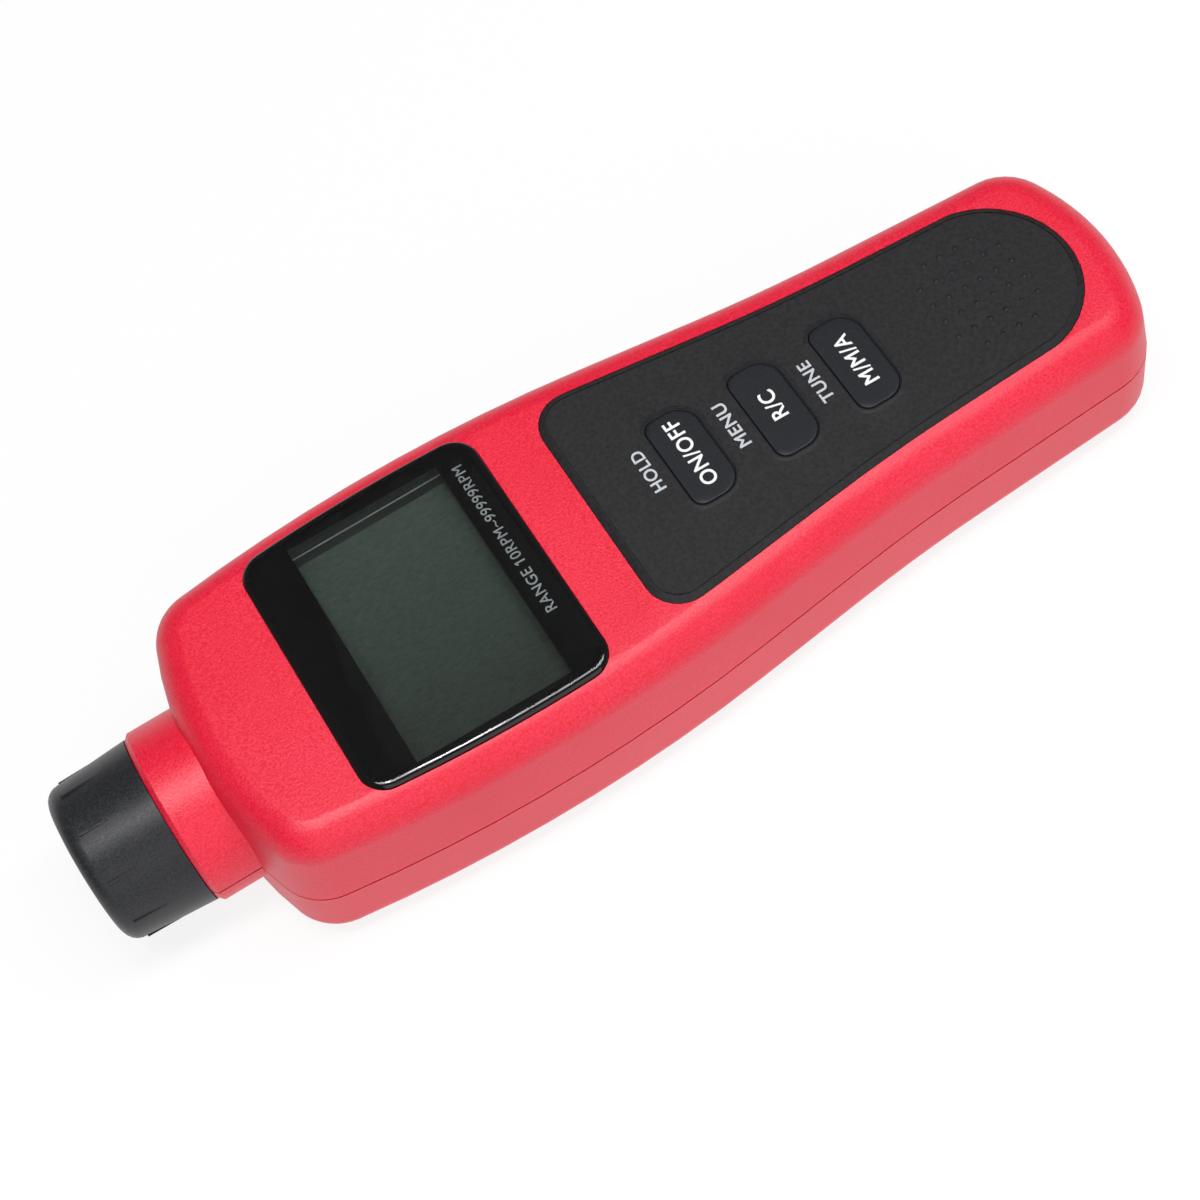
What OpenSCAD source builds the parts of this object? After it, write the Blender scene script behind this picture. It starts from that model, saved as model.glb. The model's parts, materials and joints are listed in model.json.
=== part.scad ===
// Handheld laser tachometer.
// +X points along the beam, +Z out of the display, Z = 0 is the back that it rests on.
// The origin is the middle of the back.

/* [Case] */
// Overall length from the nose tip to the tail
length = 185.4; // [178:0.2:194]
// Width across the widest part of the head
head_w = 56; // [50:0.5:60]
// Height of the top face over the widest place
case_h = 31.8; // [28.6:0.1:36]
// Slope of the top face down to the tail, in degrees
top_slope = 1.5; // [0:0.1:2]
// Wall of both shells
wall = 2.2; // [2:0.1:2.6]
// Distance from the nose tip back to the widest place
widest_setback = 68.9; // [66:0.1:71]
// Radius of the long convex curve along the head's sides
head_r = 264; // [240:2:320]
// Slope of the sides at the neck, in degrees
neck_slope = 7.3; // [6.8:0.05:8]
// Length of the straight run of the neck
neck_run = 20.5; // [17:0.1:24]
// Radius of the hollow curve that leads into the handle
hollow_r = 298; // [240:2:360]
// Slope of the handle's sides, in degrees
handle_slope = 2.8; // [2.4:0.1:3.2]
// Turn of the corners of the flat-rounded tail end, in degrees
tail_sweep = 64; // [50:0.5:70]
// Radius where the tail end meets the sides
tail_corner_r = 9.8; // [8.5:0.1:11]
// Lean of the tail end from the parting plane, in degrees
tail_lean = 5; // [2:0.5:7]
// Radius of the bowed front of the head
front_r = 57; // [48:1:80]
// Radius of the shoulders beside that front
shoulder_r = 9.1; // [8:0.1:12]
// Lean of the front of the head from the parting plane, in degrees
front_lean = 3.7; // [1:0.1:5]
// Radius of the long edges of the top face
top_fillet = 5.6; // [4:0.1:6]
// Radius of the long edges of the back
back_fillet = 5.4; // [4:0.1:6]
// Draft of the sides from the parting plane up to the top edge
top_draft = 0.55; // [0.2:0.05:0.9]
// Draft of the sides from the parting plane down to the back edge
back_draft = 0.3; // [0.1:0.05:0.9]
// Height of the parting plane, which the beam lies in
parting_z = 15.5; // [15.2:0.1:16.5]
// Open line between the two shells
parting_gap = 0.4; // [0.2:0.05:0.6]
// Height of the tongue that lines up the two shells
tongue_h = 1.8; // [1.2:0.1:2.4]

/* [Nose] */
// Length of the black tube in front of the collar
nose_l = 14.4; // [12:0.1:18]
// Length of the collar in front of the head
collar_l = 6.2; // [5:0.1:8]
// Diameter of the collar
collar_d = 29; // [27.5:0.1:29.8]
// Wall of the collar
collar_wall = 2; // [1.6:0.1:2.4]
// Chamfer on the front edge of the collar
collar_chamfer = 0.8; // [0.3:0.1:1.2]
// Step from the collar down to the black tube
nose_step = 0.65; // [0.3:0.05:0.9]
// Loss of radius from the back of the tube to its tip
nose_taper = 0.8; // [0.4:0.1:1.2]
// Radius of the tube's front edge
nose_edge_r = 2.5; // [1.5:0.1:3]
// Wall of the tube inside the collar
nose_wall = 1.4; // [1.1:0.1:1.8]
// Length of the lip that holds the front lens
nose_lip_l = 2; // [1.5:0.1:3]
// Inward reach of that lip
nose_lip_h = 1.75; // [1:0.05:2.2]
// Number of grip ribs round the tube
rib_count = 10; // [8:1:14]
// Width of one grip rib
rib_w = 0.4; // [0.3:0.05:0.8]
// Distance of the ribs from the tip
rib_setback = 2.7; // [2.5:0.1:4]
// Length of the ribs
rib_l = 7.3; // [5:0.1:9]
// Height of the ribs at their front end, from where they fade to the back
rib_h = 0.3; // [0.2:0.02:0.5]
// Turn of the ribs towards the near side, in degrees
rib_turn = 5.5; // [0:0.5:18]

/* [Window] */
// Distance from the nose tip to the near edge of the window
window_setback = 41.3; // [40:0.1:43]
// Length of the window
window_l = 40.4; // [38:0.1:42]
// Thickness of the window
window_t = 1.6; // [1.2:0.1:1.7]
// Distance of the window's long edges from the sides of the case
window_margin = 4.8; // [4.6:0.1:6]
// Corner radius of the window
window_corner_r = 4.3; // [3:0.1:6]
// Width of the window's rounded edge
window_bevel = 1.3; // [0.8:0.1:1.8]
// Height of the window's rounded edge
window_bevel_h = 0.6; // [0.4:0.05:0.8]
// Black border film under the window
mask_t = 0.2; // [0.15:0.05:0.3]
// Length of the clear field
view_l = 25.8; // [24:0.1:27]
// Border of the window beside the clear field
view_border = 2.7; // [2.4:0.1:4]
// Distance from the window's nose edge to the clear field
view_setback = 8.15; // [7.5:0.05:9]

/* [Keypad] */
// Red land between the window and the keypad inlay
keypad_land = 9.4; // [8.5:0.1:11]
// Distance from the keypad inlay to the tail
keypad_tail_land = 8.7; // [7.5:0.1:9.5]
// Distance of the inlay's long edges from the sides of the case
keypad_margin = 5.9; // [5.4:0.1:6.6]
// Corner radius at the nose end of the inlay
keypad_corner_r = 5.6; // [4:0.1:7]
// Turn of the corners of the inlay's rounded tail end, in degrees
keypad_end_sweep = 12; // [8:1:40]
// Radius where that end meets the long edges
keypad_end_corner_r = 9; // [7:0.1:10]
// Thickness of the inlay
keypad_t = 1.7; // [1.5:0.05:2]
// Depth of the pocket that it lies in
keypad_pocket = 1.2; // [1:0.05:1.25]
// Width of the inlay's chamfered rim
keypad_rim = 0.95; // [0.5:0.05:1.3]
// Height of that rim
keypad_rim_h = 0.5; // [0.3:0.05:0.6]
// Width of the fine groove inside the rim
keypad_line_w = 0.3; // [0.2:0.05:0.5]
// Depth of that groove
keypad_line_h = 0.2; // [0.1:0.05:0.3]
// Rows of grip pips across the handle
pip_rows = 6; // [4:1:6]
// Pips in one full row
pip_columns = 6; // [4:1:6]
// Pitch of the pips along the handle
pip_pitch_x = 2.9; // [2.4:0.1:3]
// Pitch of the pips across the handle
pip_pitch_y = 3.4; // [2.6:0.1:3.5]
// Radius of the ball that makes one pip
pip_r = 0.7; // [0.6:0.05:0.9]
// Height of a pip above the inlay
pip_h = 0.2; // [0.15:0.05:0.3]
// Distance from the tail end of the inlay to the middle of the pips
pip_setback = 16.2; // [15:0.1:18]

/* [Keys] */
// Length of a key along the handle
key_l = 8.1; // [7.6:0.1:9]
// Width of a key across the handle
key_w = 16.7; // [15:0.1:18]
// Pitch of the keys
key_pitch = 14.6; // [14:0.1:15]
// Distance from the nose end of the inlay to the first key's middle
key_setback = 17.2; // [16:0.1:19]
// Corner radius towards the nose
key_nose_r = 2; // [1.4:0.1:3]
// Corner radius towards the tail
key_tail_r = 3.6; // [2.5:0.1:4]
// Open line round a key
key_gap = 0.3; // [0.2:0.05:0.45]
// Height of a key above the inlay
key_rise = 0.3; // [0.1:0.05:0.6]
// Width of the raised lip round a key
lip_w = 0.7; // [0.5:0.05:0.9]
// Height of that lip
lip_h = 0.2; // [0.1:0.05:0.3]
// Reach of the flange that keeps a key in
key_flange = 0.9; // [0.7:0.05:1.2]
// Thickness of that flange
key_flange_t = 1; // [0.8:0.05:1.1]
// Travel of a key
key_travel = 0.6; // [0.4:0.05:0.7]
// Diameter of the stem over the switch
stem_d = 4; // [3:0.1:5]

/* [Battery] */
// Width of the battery block
battery_w = 26.5; // [25.5:0.1:26.6]
// Length of the battery block without its terminals
battery_l = 46; // [44:0.1:47]
// Corner radius of the battery block
battery_r = 2; // [1:0.1:3]
// Length of the battery terminals
terminal_l = 2.6; // [2:0.1:3]
// Distance between the terminals
terminal_pitch = 12.7; // [12:0.1:13]
// Thickness of the snap connector
snap_t = 4.6; // [4:0.1:5]
// Space round the battery in its bay
battery_clear = 0.2; // [0.15:0.05:0.4]
// Wall of the battery bay
bay_wall = 1.4; // [1.2:0.1:1.6]
// Roof of the battery bay
bay_roof = 1; // [0.8:0.1:1.4]
// Distance from the tail to the battery bay
bay_setback = 13.8; // [13:0.1:15]
// Thickness of the sliding cover
cover_t = 1.8; // [1.5:0.1:2]
// Width of the cover on the back
cover_w = 26.4; // [25.6:0.1:27]
// Undercut of the cover's rails, on each side
rail_undercut = 0.9; // [0.6:0.1:1.1]
// Running space round the cover
cover_clear = 0.2; // [0.15:0.05:0.3]
// Length of the latch tongue at the cover's front end
latch_l = 2; // [1.5:0.1:3]
// Width of that tongue
latch_w = 9; // [6:0.5:12]
// Number of thumb grooves in the cover
groove_count = 5; // [3:1:6]
// Pitch of the thumb grooves
groove_pitch = 2.4; // [2:0.1:3]
// Width of one thumb groove
groove_w = 1.1; // [0.8:0.1:1.4]
// Depth of one thumb groove
groove_depth = 0.6; // [0.3:0.05:0.8]
// Diameter of a battery lead
lead_d = 1.4; // [1:0.1:1.6]

/* [Boards] */
// Thickness of the main board
board_t = 1.6; // [1.2:0.1:1.8]
// Space between the main board and the roof of the battery bay
board_lift = 0.4; // [0.3:0.05:0.8]
// Distance of the main board under the display from the sides of the case
board_inset = 5.5; // [5:0.1:7]
// Width of the main board in the handle
board_tail_w = 26; // [24:0.5:28]
// Width of the main board at the nose
board_nose_w = 24; // [22:0.5:26]
// Thickness of the sensor board
sensor_board_t = 1.2; // [1:0.1:1.6]
// Length and width of a key switch
switch_w = 6; // [5:0.1:6.5]
// Height of a key switch
switch_h = 2.4; // [2:0.1:2.6]
// Shortest stem between a key and its switch
stem_l = 0.6; // [0.4:0.05:1]
// Space between a resting key and its switch
stem_gap = 0.15; // [0.1:0.05:0.3]
// Length and width of the largest chip
chip_w = 12; // [9:0.5:14]
// Height of the chips
chip_h = 1.5; // [1:0.1:1.6]
// Width of the data socket
usb_w = 7.7; // [7.5:0.1:8]
// Height of the data socket
usb_h = 3.9; // [3.6:0.1:4]
// Depth of the data socket
usb_l = 9.2; // [9:0.1:9.6]
// Wall of the data socket's shell
usb_wall = 0.4; // [0.3:0.05:0.5]
// Space round the data socket in the side of the case
usb_clear = 0.5; // [0.4:0.05:0.8]
// Height of the pin strip between the boards
header_h = 2.5; // [2.4:0.05:2.6]
// Pitch of the pins
pin_pitch = 2.54; // [2:0.02:2.54]
// Width of a pin
pin_w = 0.64; // [0.5:0.02:0.7]

/* [Display] */
// Reach of the glass past the clear field
glass_over = 2.2; // [1.6:0.1:2.4]
// Thickness of the lower glass
glass_back_t = 1.1; // [0.9:0.05:1.2]
// Thickness of the upper glass
glass_front_t = 1.1; // [0.9:0.05:1.2]
// Width of the contact ledge on the lower glass
glass_ledge = 2.6; // [2.4:0.1:3]
// Thickness of the light guide
guide_t = 1.5; // [1.2:0.1:1.6]
// Floor of the display tray
tray_floor = 0.8; // [0.6:0.1:1]
// Wall of the display tray
tray_wall = 1; // [0.8:0.1:1.2]
// Space round the glass in its tray
glass_clear = 0.2; // [0.1:0.05:0.25]
// Width of the elastic contact strip
zebra_w = 1.8; // [1.4:0.1:2]

/* [Optics] */
// Length of the optics holder
holder_l = 13.5; // [12:0.5:15]
// Diameter of the receiver's bore
receiver_d = 11; // [10:0.1:11.4]
// Depth of the receiver lens in the holder
receiver_seat = 2.5; // [2:0.1:3]
// Ledge behind the receiver lens
receiver_ledge = 0.8; // [0.5:0.05:1]
// Radius of the receiver lens
receiver_r = 12; // [10:0.5:16]
// Drop of the receiver below the beam axis
receiver_drop = 4.2; // [4:0.05:4.5]
// Diameter of the laser module
laser_d = 6.4; // [6:0.1:6.6]
// Length of the laser module
laser_l = 19; // [16:0.5:20]
// Web between the laser and the rim of the holder
holder_web = 1.6; // [1.4:0.1:1.8]
// Diameter of the photo sensor
sensor_d = 5; // [3:0.1:5.5]
// Length of the photo sensor
sensor_l = 5.5; // [4:0.1:6]
// Thickness of the front lens
front_lens_t = 2; // [1.6:0.1:2.4]
// Space round pieces that slide into each other on assembly
fit_clear = 0.1; // [0.05:0.01:0.15]

/* [Screws] */
// Diameter of the case screws
case_screw_d = 3; // [2.6:0.1:3.2]
// Length of the case screws below the head
case_screw_l = 14; // [11:0.5:15]
// Depth of the case screws' heads below the back
case_screw_depth = 8; // [7:0.1:9]
// Outer diameter of the case posts
case_post_d = 7; // [6.6:0.1:7.4]
// Distance of the front case posts from the shoulder
front_post_setback = 16.9; // [16:0.1:18]
// Space between the case posts and the inside of the walls
post_clear = 2.4; // [2:0.1:3]
// Diameter of the board screws
board_screw_d = 2; // [1.8:0.1:2.2]
// Length of the board screws below the head
board_screw_l = 5; // [4:0.1:5.6]
// Outer diameter of the board posts
board_post_d = 5; // [4.6:0.1:5.4]
// Distance of the board posts from the middle plane
board_post_y = 9; // [8.5:0.1:9.5]

/* [Hidden] */

$fn = 64;

// A small overrun that lets cuts pass through a face
eps = 0.5;

red = [0.88, 0.17, 0.25];
black = [0.13, 0.13, 0.14];
charcoal = [0.2, 0.2, 0.21];
board_green = [0.1, 0.38, 0.22];
steel = [0.72, 0.73, 0.75];
brass = [0.8, 0.64, 0.32];

tip_x = length / 2;
tail_reach = tan(tail_lean) * (parting_z - back_fillet) - back_draft;
tail_x = tail_reach - length / 2;
collar_x = tip_x - nose_l;
shoulder_x = collar_x - collar_l;
widest_x = tip_x - widest_setback;
axis_z = parting_z;
roof_z = case_h - wall;
slope = tan(top_slope);
function roof_at(x) = roof_z + slope * (x - widest_x);
collar_r = collar_d / 2;

// Directions and circle centres of the long sides of the case
function dir(a) = [cos(a), sin(a)];
head_c = [widest_x, head_w / 2 - head_r];
neck_turn = 90 + neck_slope;
handle_turn = 90 + handle_slope;
neck_end = head_c + head_r * dir(neck_turn) + neck_run * dir(neck_turn + 90);
hollow_c = neck_end + hollow_r * dir(neck_turn);
handle_start = hollow_c - hollow_r * dir(handle_turn);

// Window and clear field
window_nose_x = tip_x - window_setback;
window_tail_x = window_nose_x - window_l;
view_x = window_nose_x - view_setback - view_l / 2;
view_w = head_w - 2 * (window_margin + view_border);
ledge_z = roof_z + 0.55 * wall;
window_z = ledge_z + mask_t;
window_top = window_z + window_t;

// Keypad inlay
keypad_nose_x = window_tail_x - keypad_land;
keypad_tail_x = tail_x + keypad_tail_land;
keypad_x = (keypad_nose_x + keypad_tail_x) / 2;
keypad_z = case_h - keypad_pocket;
keypad_top = keypad_z + keypad_t;
pip_x = keypad_tail_x + pip_setback;

// Keys
function key_x(i) = keypad_nose_x - key_setback - i * key_pitch;
key_top = keypad_top + key_rise;
key_sink = 0.05;
flange_top = roof_z - key_sink;
flange_z = flange_top - key_flange_t;

// Main board, hung below the keys, and the battery bay under it
board_tail_x = key_x(2) - key_l / 2 - key_flange - 2 * board_post_d;
key_stack = key_flange_t + stem_l + key_travel + stem_gap + switch_h;
board_top = roof_at(key_x(2) - key_l / 2 - key_flange) - key_sink - key_stack;
board_z = board_top - board_t;
board_w = head_w - 2 * board_inset;
bay_top = board_z - board_lift;
bay_floor = cover_t + cover_clear;
battery_z = bay_floor + battery_clear;
battery_t = bay_top - bay_roof - battery_clear - battery_z;
bay_tail_x = tail_x + bay_setback;
battery_x = bay_tail_x + battery_clear;
terminal_x = battery_x + battery_l;
snap_x = terminal_x + fit_clear;
bay_nose_x = snap_x + snap_t + battery_clear;
bay_half = battery_w / 2 + battery_clear;
cover_nose_x = bay_nose_x;
lead_x = bay_nose_x + bay_wall + 2 * lead_d;
lead_y = terminal_pitch / 4;
lead_z = battery_z + battery_t / 2;

// Display tray and glass
tray_l = view_l + 2 * (glass_over + glass_clear + tray_wall) + glass_ledge;
tray_w = view_w + 2 * (glass_over + glass_clear + tray_wall);
glass_l = view_l + 2 * glass_over;
glass_w = view_w + 2 * glass_over;
tray_tail_x = view_x - view_l / 2 - glass_over - glass_clear - tray_wall;
glass_tail_x = view_x - glass_l / 2;
guide_z = board_top + tray_floor;
glass_z = guide_z + guide_t;
glass_top = glass_z + glass_back_t + glass_front_t;

// Posts and screws
function head_half(x) = head_c.y + sqrt(pow(head_r, 2) - pow(x - widest_x, 2));
function post_y(x) = head_half(x) - wall - case_post_d / 2 - post_clear;
front_post_x = shoulder_x - front_post_setback;
rear_post_x = window_tail_x - keypad_land / 2;
post_spots = [for (x = [front_post_x, rear_post_x]) for (y = [-1, 1]) [x, y * post_y(x)]];
board_nose_x = front_post_x + case_post_d / 2;
board_spots = [for (x = [front_post_x, rear_post_x]) for (y = [-1, 1]) [x, y * board_post_y]];
// Plain posts that press the tail of the board onto pads on the battery bay
rest_x = key_x(2) - key_l / 2 - key_flange - board_post_d;
case_seat_z = case_screw_depth;
screw_head_k = 1.75;
screw_head_h = 0.6;

// Optics
front_sag = front_r - sqrt(pow(front_r, 2) - pow(collar_r, 2));
spigot_r = collar_r - collar_wall - fit_clear;
bore_r = spigot_r - nose_wall;
nose_r = collar_r - nose_step;
nose_tip_r = nose_r - nose_taper;
flange_r = spigot_r + collar_wall / 2;
flange_x = shoulder_x - front_sag - wall - fit_clear;
flange_l = 2;
spigot_x = flange_x - flange_l;
front_lens_x = tip_x - nose_lip_l - front_lens_t;
holder_x = spigot_x - 1;
sensor_board_x = holder_x - sensor_board_t;
sensor_board_w = 2 * bore_r;
receiver_z = axis_z - receiver_drop;
laser_z = axis_z + bore_r - laser_d / 2 - holder_web;

// Data socket in the hidden side
usb_x = view_x;
usb_y = -(head_w / 2 - wall / 2);
usb_z = board_z - usb_h;

// Points of an arc, from angle a0 to a1 in n steps
function arc(c, r, a0, a1, n) = [for (i = [0:n]) c + r * dir(a0 + (a1 - a0) * i / n)];

// A list without its first entry
function rest(list) = [for (i = [1:len(list) - 1]) list[i]];

// The points of one side and of its mirror image, as a closed outline. Points on the middle plane are
// shared: some at the end, and first ones.
function both_sides(side, shared = 0, first = 0) = concat(
    side,
    [for (i = [len(side) - 1 - shared:-1:first]) [side[i].x, -side[i].y]]
);

// Centre of a corner between a cross edge and the head's side. to_nose is 1 for an edge towards the nose.
function head_corner(x, to_nose, margin, r) =
    let (cx = x - to_nose * r)
    [cx, head_c.y + sqrt(pow(head_r - margin - r, 2) - pow(cx - widest_x, 2))];

function head_angle(c) = atan2(c.y - head_c.y, c.x - head_c.x);

// Rounded end of an outline that follows the handle. Each corner turns by the sweep.
function handle_end(margin, end_x, sweep, corner_r, inset) =
    let (
        n = dir(handle_turn),
        side = handle_start * n - margin,
        end_r = (side - corner_r * (1 - cos(sweep)) - end_x * n.x) / (n.x + cos(sweep)),
        c = [end_x + end_r, 0],
        turn = handle_turn + sweep,
        corner = c + (end_r - corner_r) * dir(turn)
    )
    concat(
        arc(corner, corner_r - inset, handle_turn, turn, 6),
        rest(arc(c, end_r - inset, turn, 180, 8))
    );

// Outline that runs from a cross edge on the head to a rounded end on the handle
function long_outline(nose_x, nose_r, margin, end_x, sweep, corner_r, inset = 0) =
    let (
        c = head_corner(nose_x, 1, margin, nose_r),
        side_r = head_r - margin - inset
    )
    both_sides(
        concat(
            arc(c, nose_r - inset, 0, head_angle(c), 8),
            rest(arc(head_c, side_r, head_angle(c), neck_turn, 9)),
            arc(hollow_c, hollow_r + margin + inset, neck_turn + 180, handle_turn + 180, 5),
            handle_end(margin, end_x, sweep, corner_r, inset)
        ),
        1
    );

// Middle of the bowed front's circle, and of the shoulder's circle between it and the head's side
front_c = [shoulder_x - front_r, 0];
function shoulder_c() =
    let (
        a = front_r - shoulder_r,
        d = norm(head_c - front_c),
        e = (head_c - front_c) / d,
        along = (pow(a, 2) - pow(head_r - shoulder_r, 2) + pow(d, 2)) / (2 * d),
        out = sqrt(pow(a, 2) - pow(along, 2))
    )
    front_c + along * e + out * [-e.y, e.x];

// Outline of the case in the parting plane
function case_outline(inset = 0) =
    let (
        c = shoulder_c(),
        turn = atan2(c.y - front_c.y, c.x - front_c.x)
    )
    both_sides(
        concat(
            arc(front_c, front_r - inset, 0, turn, 4),
            rest(arc(c, shoulder_r - inset, turn, head_angle(c), 8)),
            rest(arc(head_c, head_r - inset, head_angle(c), neck_turn, 9)),
            arc(hollow_c, hollow_r + inset, neck_turn + 180, handle_turn + 180, 5),
            handle_end(0, tail_x, tail_sweep, tail_corner_r, inset)
        ),
        1, 1
    );

// Outward shift of the ends for each step below the parting plane
function end_lean(x) = x > widest_x
    ? tan(front_lean) * (x - widest_x) / (shoulder_x - widest_x)
    : tan(tail_lean) * (x - widest_x) / (widest_x - tail_x);

// Outline of the case at a height, level or following the top face, with its leaning ends
function case_ring(inset, z, follow = 0) = [
    for (p = case_outline(inset))
        let (h = z + follow * (p.x - widest_x))
        [p.x + end_lean(p.x) * (parting_z - h), p.y, h]
];

function keypad_outline(inset = 0) = long_outline(
    keypad_nose_x, keypad_corner_r, keypad_margin,
    keypad_tail_x, keypad_end_sweep, keypad_end_corner_r, inset
);

// Outline of a plate on the head with two straight cross edges
function window_outline(inset = 0) =
    let (
        c1 = head_corner(window_nose_x, 1, window_margin, window_corner_r),
        c2 = head_corner(window_tail_x, -1, window_margin, window_corner_r),
        corner_r = window_corner_r - inset,
        side_r = head_r - window_margin - inset
    )
    both_sides(concat(
        arc(c1, corner_r, 0, head_angle(c1), 7),
        rest(arc(head_c, side_r, head_angle(c1), head_angle(c2), 9)),
        rest(arc(c2, corner_r, head_angle(c2), 180, 7))
    ));

// Outline of a key
function key_outline(i, inset = 0) =
    let (x = key_l / 2, y = key_w / 2, a = key_nose_r, b = key_tail_r)
    both_sides(concat(
        arc([key_x(i) + x - a, y - a], a - inset, 0, 90, 5),
        arc([key_x(i) + b - x, y - b], b - inset, 90, 180, 7)
    ));

function at_height(outline, z) = [for (p = outline) [p.x, p.y, z]];

// Solid skin over a stack of outlines with equal numbers of points
module loft(rings) {
    n = len(rings[0]);
    last = len(rings) - 1;
    sides = [
        for (k = [0:last - 1])
            for (i = [0:n - 1])
                let (j = (i + 1) % n, low = k * n, high = low + n)
                each [[low + i, high + i, high + j], [low + i, high + j, low + j]]
    ];
    ends = [
        [for (i = [0:n - 1]) i],
        [for (i = [n - 1:-1:0]) last * n + i]
    ];
    polyhedron([for (ring = rings) each ring], concat(sides, ends), convexity = 8);
}

// Slab of an outline between two heights
module slab(outline, z0, z1) {
    translate([0, 0, z0])
        linear_extrude(z1 - z0)
            polygon(outline);
}

// Turns what lies level on the top face at x with the slope of that face
module on_top(x) {
    translate([x, 0, case_h + slope * (x - widest_x)])
        rotate([0, -top_slope, 0])
            translate([-x, 0, -case_h])
                children();
}

// Everything below a level that follows the top face
module under_top(z) {
    on_top(widest_x)
        translate([widest_x - length, -head_w, z - 2 * case_h])
            cube([2 * length, 2 * head_w, 2 * case_h]);
}

// Box that is centred across the part
module cross_box(x0, x1, w, z0, z1) {
    translate([x0, -w / 2, z0])
        cube([x1 - x0, w, z1 - z0]);
}

// Cylinder along the beam
module beam_cylinder(x, l, r, z, y = 0) {
    translate([x, y, z])
        rotate([0, 90, 0])
            cylinder(h = l, r = r);
}

// Rounded upper form of the case, drawn inwards by a wall. Its last ring rises through the top face.
module upper_form(inset, low_z, steps) {
    r = top_fillet - inset;
    rise = 0.8 * r * (1 - cos(90 / steps));
    intersection() {
        loft(concat(
            [case_ring(inset, low_z)],
            [
                for (i = [0:steps - 1])
                    let (a = 90 * i / steps)
                    case_ring(inset + top_draft + r * (1 - cos(a)), case_h - top_fillet + r * sin(a), slope)
            ],
            [case_ring(inset + top_draft + r, case_h - inset + rise, slope)]
        ));
        under_top(case_h - inset);
    }
}

// Rounded lower form of the case, drawn inwards by a wall
module lower_form(inset, high_z, steps) {
    r = back_fillet - inset;
    loft(concat(
        [
            for (i = [0:steps])
                let (a = 90 * i / steps)
                case_ring(inset + back_draft + r * (1 - sin(a)), back_fillet - r * cos(a))
        ],
        [case_ring(inset, high_z)]
    ));
}

// Collar round the nose, with a seat for the tube at its root and its front edge broken
module collar() {
    seat_x = flange_x + fit_clear;
    beam_cylinder(seat_x, collar_x - collar_chamfer - seat_x, collar_r, axis_z);
    translate([collar_x - collar_chamfer, 0, axis_z])
        rotate([0, 90, 0])
            cylinder(h = collar_chamfer, r1 = collar_r, r2 = collar_r - collar_chamfer);
}

// Bore for the black tube, with a groove for its flange
module collar_bore() {
    beam_cylinder(spigot_x - wall, collar_x - spigot_x + wall + eps, spigot_r + fit_clear, axis_z);
    beam_cylinder(spigot_x - fit_clear, flange_l + 2 * fit_clear, flange_r + fit_clear, axis_z);
}

// Everything above or below the open parting line
module above_parting(z) {
    translate([-length, -head_w, z])
        cube([2 * length, 2 * head_w, case_h]);
}

module below_parting(z) {
    translate([-length, -head_w, z - case_h])
        cube([2 * length, 2 * head_w, case_h]);
}

// Hole in the hidden side for the data socket
module usb_hole() {
    translate([
        usb_x - usb_w / 2 - usb_clear,
        usb_y - usb_l,
        usb_z - usb_clear
    ])
        cube([usb_w + 2 * usb_clear, usb_l + 2 * wall, usb_h + 2 * usb_clear]);
}

module front_case() {
    low_z = parting_z + parting_gap / 2;
    tongue_top = parting_z + tongue_h + parting_gap;
    color(red)
    difference() {
        union() {
            difference() {
                union() {
                    difference() {
                        upper_form(0, low_z, 8);
                        upper_form(wall, low_z - eps, 4);
                    }
                    intersection() {
                        collar();
                        above_parting(low_z);
                    }
                }
                slab(case_outline(wall / 2), low_z - eps, tongue_top);
            }
            for (p = post_spots)
                translate([p.x, p.y, parting_z - parting_gap / 2])
                    cylinder(h = roof_at(p.x) + wall / 4 - parting_z + parting_gap / 2, d = case_post_d);
            for (p = concat(board_spots, [[rest_x, -board_post_y], [rest_x, board_post_y]]))
                translate([p.x, p.y, board_top])
                    cylinder(h = roof_at(p.x) + wall / 4 - board_top, d = board_post_d);
        }
        collar_bore();
        on_top(view_x)
            slab(window_outline(-fit_clear), ledge_z, case_h + eps);
        cross_box(
            view_x - view_l / 2 - glass_over / 2, view_x + view_l / 2 + glass_over / 2,
            view_w + glass_over, roof_z - 2 * eps, case_h
        );
        on_top(keypad_x)
            slab(keypad_outline(-fit_clear), keypad_z, case_h + eps);
        for (i = [0:2])
            on_top(key_x(i))
                slab(key_outline(i, -key_gap), roof_z - eps, case_h);
        for (p = post_spots)
            translate([p.x, p.y, parting_z - eps])
                cylinder(
                    h = case_seat_z + case_screw_l - parting_z + 3 * eps,
                    d = case_screw_d + 2 * fit_clear
                );
        for (p = board_spots)
            translate([p.x, p.y, board_top - eps])
                cylinder(h = board_screw_l - board_t + 2 * eps, d = board_screw_d + 2 * fit_clear);
        usb_hole();
    }
}

// Space that the sliding cover runs in, with undercut rails along its sides
module cover_channel(clear, z1, x1) {
    half = cover_w / 2 + clear;
    translate([x1, 0, 0])
        rotate([0, -90, 0])
            linear_extrude(x1 + length / 2 + eps)
                polygon([
                    [-eps, half - rail_undercut * eps / cover_t],
                    [z1, half + rail_undercut * z1 / cover_t],
                    [z1, -half - rail_undercut * z1 / cover_t],
                    [-eps, -half + rail_undercut * eps / cover_t]
                ]);
}

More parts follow.
